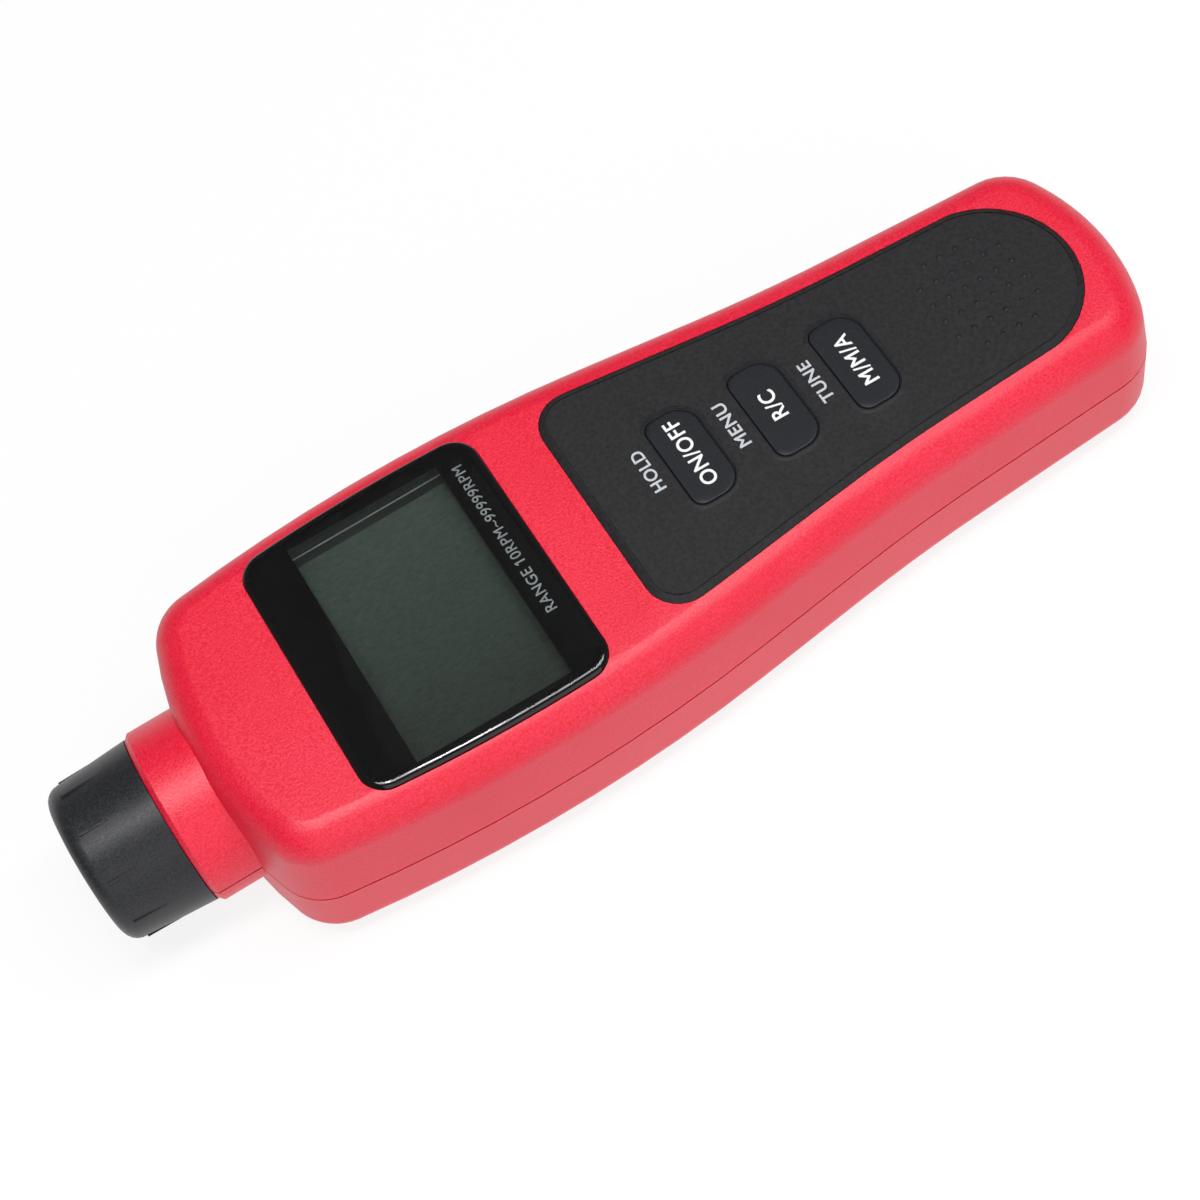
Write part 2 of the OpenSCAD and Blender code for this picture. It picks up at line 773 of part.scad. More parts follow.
module rear_case() {
    high_z = parting_z - parting_gap / 2;
    bay_out = bay_half + bay_wall;
    color(red)
    difference() {
        union() {
            difference() {
                lower_form(0, high_z, 8);
                lower_form(wall, high_z + eps, 4);
            }
            intersection() {
                collar();
                below_parting(high_z);
            }
            difference() {
                slab(case_outline(wall / 2 + fit_clear), high_z - wall, parting_z + tongue_h);
                slab(case_outline(wall), high_z - wall - eps, parting_z + tongue_h + eps);
            }
            for (p = post_spots)
                translate([p.x, p.y, wall / 2])
                    cylinder(h = high_z - wall / 2, d = case_post_d);
            cross_box(bay_tail_x - bay_wall, bay_nose_x + bay_wall, 2 * bay_out, wall * 0.75, bay_top);
            for (y = [-1, 1])
                translate([rest_x, y * board_post_y, bay_top - bay_roof / 2])
                    cylinder(h = board_z - bay_top + bay_roof / 2, d = board_post_d);
        }
        collar_bore();
        cross_box(bay_tail_x, bay_nose_x, 2 * bay_half, -eps, bay_top - bay_roof);
        cover_channel(cover_clear, bay_floor, cover_nose_x + cover_clear);
        cross_box(
            cover_nose_x - eps, cover_nose_x + latch_l + cover_clear, latch_w + 2 * cover_clear,
            cover_t / 2 - cover_clear, bay_floor
        );
        for (y = [-1, 1])
            beam_cylinder(bay_nose_x - eps, bay_wall + 2 * eps, lead_d / 2 + fit_clear, lead_z, y * lead_y);
        for (p = post_spots) {
            translate([p.x, p.y, -eps])
                cylinder(h = case_seat_z + eps, d = case_screw_d * screw_head_k + 4 * fit_clear);
            translate([p.x, p.y, 0])
                cylinder(h = parting_z, d = case_screw_d + 4 * fit_clear);
        }
        usb_hole();
    }
}

module battery_cover() {
    color(red)
    difference() {
        union() {
            intersection() {
                lower_form(0, parting_z, 8);
                cover_channel(0, cover_t, cover_nose_x);
            }
            cross_box(
                cover_nose_x - cover_t, cover_nose_x + latch_l, latch_w,
                cover_t / 2, cover_t
            );
        }
        for (i = [0:groove_count - 1])
            cross_box(
                cover_nose_x - groove_pitch * (i + 2) - groove_w, cover_nose_x - groove_pitch * (i + 2),
                cover_w * 0.66, -eps, groove_depth
            );
    }
}

// Turned form of the tube: the front edge is rounded, the back spigot has a flange
module nose_profile() {
    edge_c = [nose_tip_r - nose_edge_r, tip_x - nose_edge_r];
    polygon(concat(
        [
            [bore_r, spigot_x],
            [flange_r, spigot_x],
            [flange_r, flange_x],
            [spigot_r, flange_x],
            [spigot_r, collar_x + fit_clear],
            [nose_r, collar_x + fit_clear]
        ],
        arc(edge_c, nose_edge_r, 0, 90, 6),
        [
            [bore_r - nose_lip_h, tip_x],
            [bore_r - nose_lip_h, tip_x - nose_lip_l],
            [bore_r, tip_x - nose_lip_l]
        ]
    ));
}

// Long section of one grip rib, from the wall of the tube out to its fading edge
module rib_section() {
    front_x = tip_x - rib_setback;
    back_x = front_x - rib_l;
    back_r = nose_tip_r + nose_taper * (tip_x - nose_edge_r - back_x) / (nose_l - nose_edge_r);
    polygon([
        [bore_r + nose_wall / 2, back_x],
        [back_r - rib_h / 5, back_x],
        [nose_tip_r + rib_h, front_x],
        [bore_r + nose_wall / 2, front_x]
    ]);
}

module nose_tube() {
    color(charcoal)
    translate([0, 0, axis_z])
        rotate([0, 90, 0]) {
            rotate_extrude()
                nose_profile();
            for (i = [0:rib_count - 1])
                rotate([90, 0, 180 - rib_turn + i * 360 / rib_count])
                    translate([0, 0, -rib_w / 2])
                        linear_extrude(rib_w)
                            rib_section();
        }
}

module front_lens() {
    color([0.35, 0.08, 0.1])
    beam_cylinder(front_lens_x, front_lens_t, bore_r - fit_clear, axis_z);
}

module optics_holder() {
    end_x = holder_x + holder_l;
    color(black)
    difference() {
        beam_cylinder(holder_x, holder_l, bore_r - fit_clear, axis_z);
        beam_cylinder(holder_x - eps, holder_l + 2 * eps, receiver_d / 2 - receiver_ledge, receiver_z);
        beam_cylinder(end_x - receiver_seat, receiver_seat + eps, receiver_d / 2 + fit_clear, receiver_z);
        beam_cylinder(holder_x - eps, holder_l + 2 * eps, laser_d / 2 + fit_clear, laser_z);
    }
}

module laser_module() {
    tip_l = 2;
    color(brass)
    difference() {
        union() {
            beam_cylinder(holder_x, laser_l - tip_l, laser_d / 2, laser_z);
            beam_cylinder(holder_x, laser_l, laser_d / 2 - 0.6, laser_z);
        }
        beam_cylinder(holder_x + laser_l - tip_l, tip_l + eps, laser_d / 6, laser_z);
    }
}

module receiver_lens() {
    seat_x = holder_x + holder_l - receiver_seat;
    color([0.75, 0.85, 0.9])
    intersection() {
        beam_cylinder(seat_x, 2 * receiver_seat, receiver_d / 2, receiver_z);
        translate([seat_x + 1.6 * receiver_seat - receiver_r, 0, receiver_z])
            sphere(r = receiver_r);
    }
}

module photo_sensor() {
    color([0.16, 0.1, 0.14])
    union() {
        beam_cylinder(holder_x, sensor_l - sensor_d / 2, sensor_d / 2, receiver_z);
        translate([holder_x + sensor_l - sensor_d / 2, 0, receiver_z])
            sphere(d = sensor_d);
    }
}

module sensor_board() {
    color(board_green)
    cross_box(
        sensor_board_x, holder_x, sensor_board_w,
        axis_z - sensor_board_w / 2, axis_z + sensor_board_w / 2
    );
}

// Pin strip under the nose end of the main board, with its pins running to the sensor board
module sensor_header() {
    strip_x = board_nose_x - header_h;
    color(black)
    union() {
        cross_box(strip_x, board_nose_x, 5 * pin_pitch, board_z - header_h, board_z);
        for (i = [-1.5:1:1.5])
            translate([board_nose_x - eps, i * pin_pitch - pin_w / 2, board_z - header_h / 2 - pin_w / 2])
                cube([sensor_board_x - board_nose_x + eps, pin_w, pin_w]);
    }
}

module display_window() {
    color([0.1, 0.1, 0.11, 0.6])
    on_top(view_x)
        loft([
            at_height(window_outline(), window_z),
            at_height(window_outline(), window_top - window_bevel_h),
            at_height(window_outline(window_bevel * 0.12), window_top - window_bevel_h * 0.62),
            at_height(window_outline(window_bevel * 0.45), window_top - window_bevel_h * 0.2),
            at_height(window_outline(window_bevel), window_top)
        ]);
}

module window_mask() {
    color(black)
    on_top(view_x)
        difference() {
            slab(window_outline(fit_clear), ledge_z, window_z);
            cross_box(view_x - view_l / 2, view_x + view_l / 2, view_w, ledge_z - eps, window_z + eps);
        }
}

module lcd_panel() {
    color([0.24, 0.28, 0.26])
    union() {
        cross_box(
            glass_tail_x, glass_tail_x + glass_l + glass_ledge, glass_w, glass_z, glass_z + glass_back_t
        );
        cross_box(glass_tail_x, glass_tail_x + glass_l, glass_w, glass_z + glass_back_t / 2, glass_top);
    }
}

module lcd_backlight() {
    color([0.92, 0.93, 0.9])
    cross_box(glass_tail_x, glass_tail_x + glass_l, glass_w, guide_z, glass_z);
}

module lcd_frame() {
    strip_x = glass_tail_x + glass_l + (glass_ledge - zebra_w) / 2;
    color([0.86, 0.87, 0.86])
    difference() {
        cross_box(tray_tail_x, tray_tail_x + tray_l, tray_w, board_top, glass_top);
        cross_box(
            tray_tail_x + tray_wall, tray_tail_x + tray_l - tray_wall, tray_w - 2 * tray_wall,
            guide_z, glass_top + eps
        );
        cross_box(
            strip_x - glass_clear, strip_x + zebra_w + glass_clear, view_w + 2 * glass_clear,
            board_top - eps, guide_z + eps
        );
    }
}

module zebra_strip() {
    strip_x = glass_tail_x + glass_l + (glass_ledge - zebra_w) / 2;
    color([0.85, 0.62, 0.6])
    cross_box(strip_x, strip_x + zebra_w, view_w, board_top, glass_z);
}

// Grip pips in a rounded field: the first and last rows are shorter
module pips() {
    for (row = [0:pip_rows - 1]) {
        outer = row == 0 || row == pip_rows - 1;
        count = outer ? pip_columns - 2 : pip_columns;
        for (column = [0:count - 1])
            translate([
                pip_x + (column - (count - 1) / 2) * pip_pitch_x,
                (row - (pip_rows - 1) / 2) * pip_pitch_y,
                keypad_top + pip_h - pip_r
            ])
                sphere(r = pip_r, $fn = 24);
    }
}

module keypad_panel() {
    color(charcoal)
    difference() {
        union() {
            on_top(keypad_x) {
                loft([
                    at_height(keypad_outline(), keypad_z),
                    at_height(keypad_outline(), keypad_top - keypad_rim_h),
                    at_height(keypad_outline(keypad_rim), keypad_top)
                ]);
                pips();
            }
            for (i = [0:2])
                on_top(key_x(i))
                    loft([
                        at_height(key_outline(i, -key_gap - lip_w), keypad_top - lip_h),
                        at_height(key_outline(i, -key_gap - lip_w), keypad_top),
                        at_height(key_outline(i, -key_gap - lip_w / 2), keypad_top + lip_h)
                    ]);
        }
        on_top(keypad_x)
            difference() {
                slab(keypad_outline(keypad_rim), keypad_top - keypad_line_h, keypad_top + eps);
                slab(keypad_outline(keypad_rim + keypad_line_w), keypad_z, keypad_top + 2 * eps);
            }
        for (i = [0:2])
            on_top(key_x(i))
                slab(key_outline(i, -key_gap), keypad_z - eps, keypad_top + lip_h + eps);
    }
}

// One key: rounded cap, flange under the case and a stem over its switch
module key(i) {
    stem_z = board_top + switch_h + key_travel + stem_gap;
    color(charcoal)
    union() {
        on_top(key_x(i)) {
            loft([
                at_height(key_outline(i), flange_z + key_flange_t / 2),
                at_height(key_outline(i), key_top - 0.3),
                at_height(key_outline(i, 0.12), key_top - 0.1),
                at_height(key_outline(i, 0.4), key_top)
            ]);
            slab(key_outline(i, -key_flange), flange_z, flange_top);
        }
        translate([key_x(i), 0, stem_z])
            cylinder(h = flange_z + key_flange_t / 2 + slope * (key_x(i) - widest_x) - stem_z, d = stem_d);
    }
}

module power_button() {
    key(0);
}

module count_button() {
    key(1);
}

module memory_button() {
    key(2);
}

module key_switches() {
    color(black)
    for (i = [0:2])
        translate([key_x(i), 0, board_top]) {
            translate([-switch_w / 2, -switch_w / 2, 0])
                cube([switch_w, switch_w, switch_h * 0.8]);
            cylinder(h = switch_h, d = switch_w * 0.55);
        }
}

module main_board() {
    wide_nose_x = tray_tail_x + tray_l + 1;
    wide_tail_x = tray_tail_x - 1;
    side = [
        [board_nose_x, board_nose_w / 2],
        [wide_nose_x, board_nose_w / 2],
        [wide_nose_x, board_w / 2],
        [wide_tail_x, board_w / 2],
        [wide_tail_x, board_tail_w / 2],
        [board_tail_x, board_tail_w / 2]
    ];
    color(board_green)
    difference() {
        slab(both_sides(side), board_z, board_top);
        for (p = board_spots)
            translate([p.x, p.y, board_z - eps])
                cylinder(h = board_t + 2 * eps, d = board_screw_d + 4 * fit_clear);
    }
}

// Packages under the main board: processor, signal amplifier and clock crystal
module board_chips() {
    color(black) {
        cross_box(view_x - chip_w / 2, view_x + chip_w / 2, chip_w, board_z - chip_h, board_z);
        translate([view_x + chip_w, chip_w / 3, board_z - chip_h])
            cube([chip_w / 3, chip_w / 2.5, chip_h]);
        translate([view_x - chip_w, chip_w / 2, board_z - chip_h])
            cube([chip_w / 3, chip_w, chip_h]);
    }
}

module usb_socket() {
    depth = usb_l - usb_wall;
    color(steel)
    difference() {
        translate([usb_x - usb_w / 2, usb_y, usb_z])
            cube([usb_w, usb_l, usb_h]);
        translate([usb_x - usb_w / 2 + usb_wall, usb_y - eps, usb_z + usb_wall])
            cube([usb_w - 2 * usb_wall, depth + eps - usb_l / 4, usb_h / 3 - usb_wall]);
        translate([usb_x - usb_w / 2 + usb_wall, usb_y - eps, usb_z + usb_h * 0.62])
            cube([usb_w - 2 * usb_wall, depth + eps - usb_l / 4, usb_h * 0.38 - usb_wall]);
    }
}

module battery_block() {
    y = battery_w / 2 - battery_r;
    z = battery_t / 2 - battery_r;
    mid_z = battery_z + battery_t / 2;
    color([0.2, 0.22, 0.26])
    union() {
        translate([battery_x, 0, mid_z])
            rotate([0, 90, 0])
                linear_extrude(battery_l)
                    polygon(both_sides(concat(
                        arc([z, y], battery_r, 0, 90, 5),
                        arc([-z, y], battery_r, 90, 180, 5)
                    )));
        beam_cylinder(terminal_x - eps, terminal_l + eps, 2.85, mid_z, terminal_pitch / 2);
        beam_cylinder(terminal_x - eps, terminal_l + eps, 4, mid_z, -terminal_pitch / 2);
    }
}

module battery_snap() {
    color(black)
    difference() {
        cross_box(snap_x, snap_x + snap_t, battery_w - 2, lead_z - battery_t / 3, lead_z + battery_t / 3);
        beam_cylinder(snap_x - eps, terminal_l + 2 * eps, 2.85 + fit_clear, lead_z, terminal_pitch / 2);
        beam_cylinder(snap_x - eps, terminal_l + 2 * eps, 4 + fit_clear, lead_z, -terminal_pitch / 2);
    }
}

// Two leads from the snap through the bay's end wall and up to the main board
module battery_leads() {
    run_x = snap_x + snap_t;
    color([0.75, 0.12, 0.12])
    for (y = [-1, 1]) {
        beam_cylinder(run_x, lead_x - run_x, lead_d / 2, lead_z, y * lead_y);
        translate([lead_x, y * lead_y, lead_z])
            sphere(d = lead_d);
        translate([lead_x, y * lead_y, lead_z])
            cylinder(h = board_z - lead_z, d = lead_d);
    }
}

// Pan head screw that points up, with a cross recess in its head
module screw(d, l) {
    head_d = d * screw_head_k;
    head_h = d * screw_head_h;
    difference() {
        union() {
            translate([0, 0, -head_h])
                cylinder(h = head_h, d = head_d);
            cylinder(h = l, d = d);
        }
        for (a = [0, 90])
            rotate([0, 0, a])
                translate([-d / 2, -d / 10, -head_h - eps])
                    cube([d, d / 5, head_h / 2 + eps]);
    }
}

module case_screws() {
    color(steel)
    for (p = post_spots)
        translate([p.x, p.y, case_seat_z])
            screw(case_screw_d, case_screw_l);
}

module board_screws() {
    color(steel)
    for (p = board_spots)
        translate([p.x, p.y, board_z])
            screw(board_screw_d, board_screw_l);
}

front_case();
rear_case();
battery_cover();
nose_tube();
front_lens();
optics_holder();
laser_module();
receiver_lens();
photo_sensor();
sensor_board();
sensor_header();
display_window();
window_mask();
lcd_panel();
lcd_backlight();
lcd_frame();
zebra_strip();
keypad_panel();
power_button();
count_button();
memory_button();
key_switches();
main_board();
board_chips();
usb_socket();
battery_block();
battery_snap();
battery_leads();
case_screws();
board_screws();
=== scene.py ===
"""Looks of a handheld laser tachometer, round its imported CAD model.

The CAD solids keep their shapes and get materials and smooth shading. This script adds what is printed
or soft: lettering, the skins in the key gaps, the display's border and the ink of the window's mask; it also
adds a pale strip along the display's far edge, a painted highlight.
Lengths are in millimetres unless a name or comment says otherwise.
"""

import json
import math

import bmesh
import bpy
from mathutils import Matrix, Vector

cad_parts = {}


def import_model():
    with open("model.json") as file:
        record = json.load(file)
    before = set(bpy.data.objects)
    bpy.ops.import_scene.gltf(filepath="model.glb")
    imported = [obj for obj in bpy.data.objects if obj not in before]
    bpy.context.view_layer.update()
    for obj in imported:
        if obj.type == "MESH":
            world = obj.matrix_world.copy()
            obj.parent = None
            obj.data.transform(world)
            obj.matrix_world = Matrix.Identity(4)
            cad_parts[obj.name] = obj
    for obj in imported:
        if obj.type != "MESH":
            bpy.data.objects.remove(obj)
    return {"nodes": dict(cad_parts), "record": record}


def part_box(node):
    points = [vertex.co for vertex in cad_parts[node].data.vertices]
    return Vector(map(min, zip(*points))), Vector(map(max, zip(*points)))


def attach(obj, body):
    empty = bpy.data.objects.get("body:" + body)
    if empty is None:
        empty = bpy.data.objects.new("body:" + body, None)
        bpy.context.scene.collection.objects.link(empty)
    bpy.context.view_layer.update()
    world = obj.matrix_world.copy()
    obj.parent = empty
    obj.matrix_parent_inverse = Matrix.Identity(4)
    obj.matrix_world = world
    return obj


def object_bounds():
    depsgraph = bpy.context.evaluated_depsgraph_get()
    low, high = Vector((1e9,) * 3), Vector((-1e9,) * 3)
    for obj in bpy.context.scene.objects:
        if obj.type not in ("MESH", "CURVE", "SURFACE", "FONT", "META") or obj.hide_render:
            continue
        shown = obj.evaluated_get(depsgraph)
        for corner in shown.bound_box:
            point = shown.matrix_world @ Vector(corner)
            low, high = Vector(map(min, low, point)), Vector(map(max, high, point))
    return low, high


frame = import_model()
cad_box = [list(corner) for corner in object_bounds()]
nodes = frame["nodes"]
scene = bpy.context.scene
scene.view_settings.view_transform = "Standard"
MM = 0.001


# Camera
PHOTO_PX = 1200
FOCAL_PX = 2403.57
SENSOR = 36
NEAREST = 10
CAMERA_AT = (54.2, 163.578, 344.252)
CAMERA_AIM = (8.042, 12.189, 30.0)
CAMERA_ROLL = math.radians(-15.586)


def put_camera():
    """The photograph's view: a camera that looks at a point over the object, rolled from level."""
    data = bpy.data.cameras.new("camera")
    data.sensor_fit = "HORIZONTAL"
    data.sensor_width = SENSOR
    data.lens = SENSOR * FOCAL_PX / PHOTO_PX
    data.clip_start = NEAREST * MM
    cam = bpy.data.objects.new("camera", data)
    scene.collection.objects.link(cam)
    level = (Vector(CAMERA_AIM) - Vector(CAMERA_AT)).to_track_quat("-Z", "Y").to_matrix().to_4x4()
    roll = Matrix.Rotation(CAMERA_ROLL, 4, "Z")
    cam.matrix_world = Matrix.Translation(Vector(CAMERA_AT) * MM) @ level @ roll
    scene.camera = cam


put_camera()


# Materials
def linear(v):
    """A value that a screen shows, 0 to 255, as the linear one that shaders take."""
    return ((v / 255 + 0.055) / 1.055) ** 2.4 if v > 10 else v / 255 / 12.92


def srgb(r, g, b):
    """A colour as a screen shows it, made linear."""
    return linear(r), linear(g), linear(b), 1.0


def node_maths(t, op, a, b):
    """A maths node in a tree, on two values that are each a socket or a number."""
    n = t.nodes.new("ShaderNodeMath")
    n.operation = op
    for socket, v in zip(n.inputs, (a, b)):
        if isinstance(v, float):
            socket.default_value = v
        else:
            t.links.new(v, socket)
    return n.outputs["Value"]


# The band that most values of a noise lie in, and the part of it that shows as flecks
BAND = (0.3, 0.7)
FLECKS = (0.35, 0.7)
# Size of the cloudiness in moulded plastic
CLOUD = 26
# Distance from the middle plane over which the display's colour darkens towards the near side: a painted
# reflection, lighter on the far side
REFLECTION_FADE = 19


class Mat:
    """A node material on object coordinates in millimetres."""

    def __init__(self, name):
        self.m = bpy.data.materials.new(name)
        self.m.use_nodes = True
        self.t = self.m.node_tree
        self.shader = next(n for n in self.t.nodes if n.type == "BSDF_PRINCIPLED")
        coord = self.t.nodes.new("ShaderNodeTexCoord")
        scale = self.t.nodes.new("ShaderNodeMapping")
        scale.inputs["Scale"].default_value = (1 / MM, 1 / MM, 1 / MM)
        self.link(coord.outputs["Object"], scale.inputs["Vector"])
        self.mm = scale.outputs["Vector"]

    def link(self, a, b):
        self.t.links.new(a, b)

    def set(self, **values):
        """Constant values, straight on the shader's sockets."""
        for name, value in values.items():
            self.shader.inputs[name.replace("_", " ")].default_value = value

    def stretch(self, x, y, z):
        """The coordinates drawn out along the axes, for brushed or drawn surfaces."""
        n = self.t.nodes.new("ShaderNodeMapping")
        n.inputs["Scale"].default_value = (x, y, z)
        self.link(self.mm, n.inputs["Vector"])
        return n.outputs["Vector"]

    def noise(self, size, detail=2.0, rough=0.5, vector=None):
        """Even noise with features of about that size in mm."""
        n = self.t.nodes.new("ShaderNodeTexNoise")
        n.inputs["Scale"].default_value = 1 / size
        n.inputs["Detail"].default_value = detail
        n.inputs["Roughness"].default_value = rough
        self.link(vector or self.mm, n.inputs["Vector"])
        return n.outputs["Fac"]

    def cells(self, size, feature, vector=None):
        """Distances in a pattern of cells of about that size in mm."""
        n = self.t.nodes.new("ShaderNodeTexVoronoi")
        n.feature = feature
        n.inputs["Scale"].default_value = 1 / size
        self.link(vector or self.mm, n.inputs["Vector"])
        return n.outputs["Distance"]

    def ranged(self, value, low, high, to_low, to_high):
        """The value with low to high stretched to to_low to to_high, and cut off there."""
        n = self.t.nodes.new("ShaderNodeMapRange")
        for name, v in (("From Min", low), ("From Max", high), ("To Min", to_low), ("To Max", to_high)):
            n.inputs[name].default_value = v
        self.link(value, n.inputs["Value"])
        return n.outputs["Result"]

    def maths(self, op, a, b):
        return node_maths(self.t, op, a, b)

    def mix(self, fac, a, b):
        """Colour a where fac is 0 and b where it is 1."""
        n = self.t.nodes.new("ShaderNodeMix")
        n.data_type = "RGBA"
        self.link(fac, n.inputs["Factor"])
        for name, v in (("A", a), ("B", b)):
            socket = [i for i in n.inputs if i.name == name and i.type == "RGBA"][0]
            if isinstance(v, tuple):
                socket.default_value = v
            else:
                self.link(v, socket)
        return [o for o in n.outputs if o.type == "RGBA"][0]

    def bump(self, height, strength, distance):
        """Normals of a surface that rises with a height, by a distance in mm."""
        n = self.t.nodes.new("ShaderNodeBump")
        n.inputs["Strength"].default_value = strength
        n.inputs["Distance"].default_value = distance * MM
        self.link(height, n.inputs["Height"])
        return n.outputs["Normal"]

    def colour(self, socket):
        self.link(socket, self.shader.inputs["Base Color"])

    def rough(self, socket):
        self.link(socket, self.shader.inputs["Roughness"])

    def normal(self, socket):
        self.link(socket, self.shader.inputs["Normal"])


def moulded(name, colour, paler, grain=0.35, rough=0.42, bump=0.12, depth=0.03, spread=0.08):
    """Moulded plastic: a fine eroded grain, faint cloudiness and a roughness that follows the grain."""
    m = Mat(name)
    fine = m.noise(grain, detail=3, rough=0.6)
    cloud = m.noise(CLOUD)
    fleck = m.ranged(fine, *FLECKS, 0, 1)
    m.colour(m.mix(m.maths("MULTIPLY", fleck, m.ranged(cloud, *BAND, 0.55, 1)), colour, paler))
    m.rough(m.ranged(fine, *BAND, rough - spread, rough + spread))
    m.normal(m.bump(fine, bump, depth))
    return m


red = moulded("red_plastic", srgb(220, 6, 40), srgb(246, 54, 86), grain=0.33, rough=0.4, bump=0.75,
              depth=0.08)
red.set(Specular_IOR_Level=0.5)

nose_dark = moulded("nose_plastic", srgb(28, 29, 32), srgb(50, 51, 55), grain=0.34, rough=0.4, bump=0.3,
                    depth=0.05)
nose_dark.set(Specular_IOR_Level=0.35)

keypad_dark = Mat("keypad_plastic")
leather = keypad_dark.cells(0.6, "SMOOTH_F1")
pores = keypad_dark.noise(0.28, 3, 0.6)
grain = keypad_dark.maths("ADD", leather, keypad_dark.maths("MULTIPLY", pores, 0.5))
tone = keypad_dark.ranged(grain, 0.3, 0.9, 0, 1)
keypad_dark.colour(keypad_dark.mix(tone, srgb(24, 24, 26), srgb(37, 37, 39)))
keypad_dark.rough(keypad_dark.ranged(pores, *BAND, 0.5, 0.66))
keypad_dark.normal(keypad_dark.bump(grain, 0.3, 0.05))
keypad_dark.set(Specular_IOR_Level=0.25)

key_dark = moulded("key_rubber", srgb(24, 26, 31), srgb(32, 34, 40), grain=0.4, rough=0.5, bump=0.15)
key_dark.set(Specular_IOR_Level=0.25)

clear = Mat("window_clear")
clear.set(Base_Color=(0.74, 0.8, 0.77, 1), Transmission_Weight=1.0, IOR=1.49, Specular_IOR_Level=0.5)
clear.rough(clear.ranged(clear.noise(9, 3), *BAND, 0.015, 0.035))

black_print = moulded("window_print", srgb(4, 3, 4), srgb(7, 6, 7), grain=0.6, rough=0.4, bump=0.02)
black_print.set(Specular_IOR_Level=0.05)
black_edge = moulded("window_edge", srgb(9, 8, 10), srgb(13, 12, 14), grain=3.0, rough=0.09, bump=0.01,
                     spread=0.03)

glass = Mat("lcd_glass")
weave = glass.noise(0.5, 2, 0.5, glass.stretch(0.35, 1, 1))
axes = glass.t.nodes.new("ShaderNodeSeparateXYZ")
glass.link(glass.mm, axes.inputs["Vector"])
# The display's colour fades from far to near: a painted reflection on the glass, lighter on the far side and
# darker on the near side
reflection_fade = glass.ranged(axes.outputs["Y"], -REFLECTION_FADE, REFLECTION_FADE, 0, 1)
film_and_reflection = glass.mix(reflection_fade, srgb(78, 90, 83), srgb(50, 56, 51))
bright = glass.mix(reflection_fade, srgb(90, 103, 95), srgb(60, 66, 61))
glass.colour(glass.mix(glass.ranged(weave, *BAND, 0, 1), film_and_reflection, bright))
glass.rough(glass.ranged(glass.noise(0.25, 2), *BAND, 0.25, 0.4))
glass.set(Specular_IOR_Level=0.4)

tray = moulded("tray_plastic", srgb(206, 208, 206), srgb(216, 218, 215), grain=0.5, rough=0.5, bump=0.08)
guide = moulded("light_guide", srgb(226, 232, 226), srgb(236, 240, 236), grain=2.0, rough=0.35, bump=0.02)
rubber = moulded("zebra_rubber", srgb(70, 70, 72), srgb(96, 96, 96), grain=0.2, rough=0.7, bump=0.05)

board = Mat("board")
weft = board.noise(0.45, 2, 0.6, board.stretch(0.3, 1, 1))
track = board.cells(3.2, "DISTANCE_TO_EDGE", board.stretch(1, 0.35, 1))
board.colour(board.mix(board.ranged(track, 0.08, 0.12, 0, 1), srgb(28, 110, 62), srgb(16, 84, 46)))
board.rough(board.ranged(weft, *BAND, 0.3, 0.45))
board.normal(board.bump(weft, 0.1, 0.03))

chip = moulded("chip_black", srgb(26, 26, 27), srgb(34, 34, 35), grain=0.25, rough=0.55, bump=0.12)


def metal(name, colour, darker, rough):
    """Drawn or turned metal, streaked along x."""
    m = Mat(name)
    turned = m.noise(0.5, 3, 0.6, m.stretch(0.2, 1, 1))
    m.colour(m.mix(m.ranged(turned, *BAND, 0, 1), colour, darker))
    m.rough(m.ranged(turned, *BAND, rough - 0.06, rough + 0.08))
    m.normal(m.bump(turned, 0.05, 0.02))
    m.set(Metallic=1.0)
    return m


steel = metal("steel", srgb(196, 198, 202), srgb(168, 170, 175), 0.3)
brass = metal("brass", srgb(206, 172, 96), srgb(182, 146, 74), 0.28)

lens_red = Mat("lens_red")
lens_red.set(Base_Color=(0.42, 0.02, 0.025, 1), Transmission_Weight=1.0, IOR=1.49)
lens_red.rough(lens_red.ranged(lens_red.noise(6, 2), *BAND, 0.015, 0.04))
lens_clear = Mat("lens_clear")
lens_clear.set(Base_Color=(0.93, 0.96, 0.97, 1), Transmission_Weight=1.0, IOR=1.49)
lens_clear.rough(lens_clear.ranged(lens_clear.noise(6, 2), *BAND, 0.01, 0.03))

wrap = moulded("battery_skin", srgb(34, 38, 46), srgb(44, 48, 58), grain=0.8, rough=0.35, bump=0.03)
lead = moulded("lead_rubber", srgb(150, 24, 26), srgb(172, 34, 34), grain=0.3, rough=0.5, bump=0.05)
ink_white = moulded("ink_white", srgb(236, 236, 236), srgb(246, 246, 246), grain=0.3, rough=0.5, bump=0.03)
ink_grey = moulded("ink_grey", srgb(186, 190, 196), srgb(204, 208, 214), grain=0.3, rough=0.5, bump=0.03)
seal_print = moulded("lcd_seal", srgb(30, 34, 33), srgb(38, 43, 41), grain=0.5, rough=0.45, bump=0.03)
# Pale grey for the far edge of the display's upper sheet: a painted highlight, not the glass's own colour
rim_highlight = moulded("rim_highlight", srgb(186, 194, 192), srgb(216, 222, 220), grain=0.8, rough=0.3, bump=0.02)

LOOKS = {
    "red_plastic": red, "nose_plastic": nose_dark, "keypad_plastic": keypad_dark, "key_rubber": key_dark,
    "window_clear": clear, "window_print": black_print, "lcd_glass": glass, "tray_plastic": tray,
    "light_guide": guide, "zebra_rubber": rubber, "board": board, "chip_black": chip, "steel": steel,
    "brass": brass, "lens_red": lens_red, "lens_clear": lens_clear, "battery_skin": wrap,
    "lead_rubber": lead,
}
slot_of = {p["node"]: p["material_slot"] for p in frame["record"]["subparts"]}


# Smooth CAD faces
SMOOTH_BELOW = math.radians(32)
JOIN = 0.002
# Least z of a normal at which a face counts as level
LEVEL = 0.985


